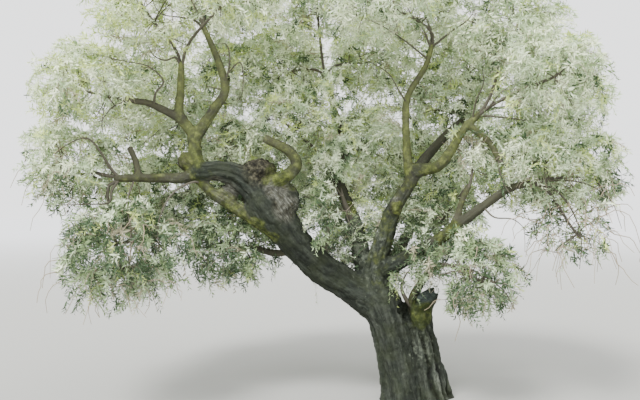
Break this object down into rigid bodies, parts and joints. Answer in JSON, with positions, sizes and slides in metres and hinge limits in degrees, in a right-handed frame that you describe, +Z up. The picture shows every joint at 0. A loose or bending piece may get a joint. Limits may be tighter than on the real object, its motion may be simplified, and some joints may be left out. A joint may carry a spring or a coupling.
{
  "type": "olive tree",
  "caption": "Old olive tree with a leaning fluted trunk, pollarded mossy boughs and an open, drooping crown of narrow silvery leaves, fixed in the ground.",
  "frame": {"origin": "middle of the flat cut under the trunk, at ground level", "axes": "+Z up; +X along the crown, away from the side that the trunk leans to; -Y towards the open front of the crown, where the limbs show"},
  "size_m": [6.954, 4.1931, 5.4547],
  "materials": {
    "bark": "rough, furrowed grey-brown bark",
    "mossy_bark": "rough bark under yellow-green moss",
    "foliage": "matt silvery grey-green leaves"
  },
  "bodies": {
    "root": {"back_arm": "bark", "back_bough": "bark", "back_left_bough": "bark", "back_left_foliage": "foliage", "back_middle_foliage": "foliage", "back_right_bough": "bark", "back_right_foliage": "foliage", "centre_leader": "bark", "front_high_foliage": "foliage", "front_left_high_foliage": "foliage", "front_right_foliage": "foliage", "high_back_foliage": "foliage", "hook": "mossy_bark", "inner_left_foliage": "foliage", "inner_right_foliage": "foliage", "inner_shoot": "bark", "left_arm": "mossy_bark", "left_back_high_foliage": "foliage", "left_back_inner_foliage": "foliage", "left_back_low_foliage": "foliage", "left_fork": "mossy_bark", "left_high_foliage": "foliage", "left_inner_high_foliage": "foliage", "left_leader": "mossy_bark", "left_limb": "bark", "left_low_foliage": "foliage", "left_low_inner_foliage": "foliage", "left_outer_foliage": "foliage", "left_stub": "bark", "left_twist": "bark", "low_bough": "bark", "low_right_foliage": "foliage", "lower_arm": "mossy_bark", "middle_bough": "bark", "middle_left_foliage": "foliage", "middle_right_foliage": "foliage", "right_arm": "mossy_bark", "right_back_foliage": "foliage", "right_back_top_foliage": "foliage", "right_bough": "bark", "right_droop": "bark", "right_hang_foliage": "foliage", "right_high_foliage": "foliage", "right_inner_foliage": "foliage", "right_inner_low_foliage": "foliage", "right_leader": "mossy_bark", "right_low": "bark", "right_low_shoot": "bark", "right_mid_foliage": "foliage", "right_outer_foliage": "foliage", "right_top_foliage": "foliage", "top_left_foliage": "foliage", "top_middle_foliage": "foliage", "top_right_foliage": "foliage", "trunk": "bark", "under_shoot": "bark", "upper_arm": "bark", "upper_back_foliage": "foliage", "upper_left_foliage": "foliage"}
  },
  "joints": []
}
